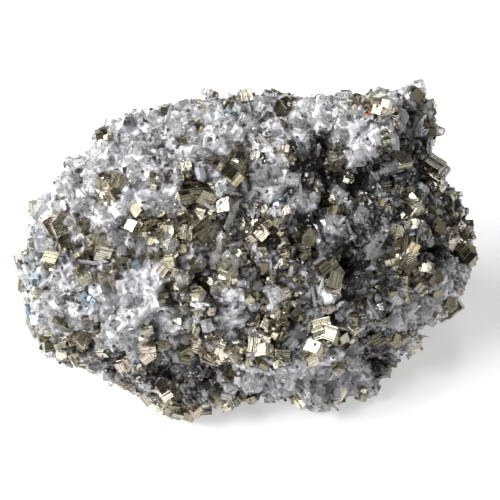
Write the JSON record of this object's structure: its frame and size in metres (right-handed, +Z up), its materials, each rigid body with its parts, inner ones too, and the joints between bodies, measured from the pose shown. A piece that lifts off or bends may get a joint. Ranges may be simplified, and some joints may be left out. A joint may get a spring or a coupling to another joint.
{
  "type": "pyrite and quartz crystal cluster",
  "caption": "Rough fist-size lump of vein rock overgrown with pyrite cubes and pointed quartz prisms, with a flat broken underside to rest on.",
  "frame": {"origin": "middle of the bounding box on the plane the lump rests on", "axes": "+Z up, +X along the lump's length, the crystal-covered face towards -Y and up"},
  "size_m": [0.1024, 0.065, 0.0608],
  "materials": {
    "pyrite_and_quartz": "brassy metallic crystals in grey and white quartz"
  },
  "bodies": {
    "root": {"pyrite_cluster": "pyrite_and_quartz"}
  },
  "joints": []
}
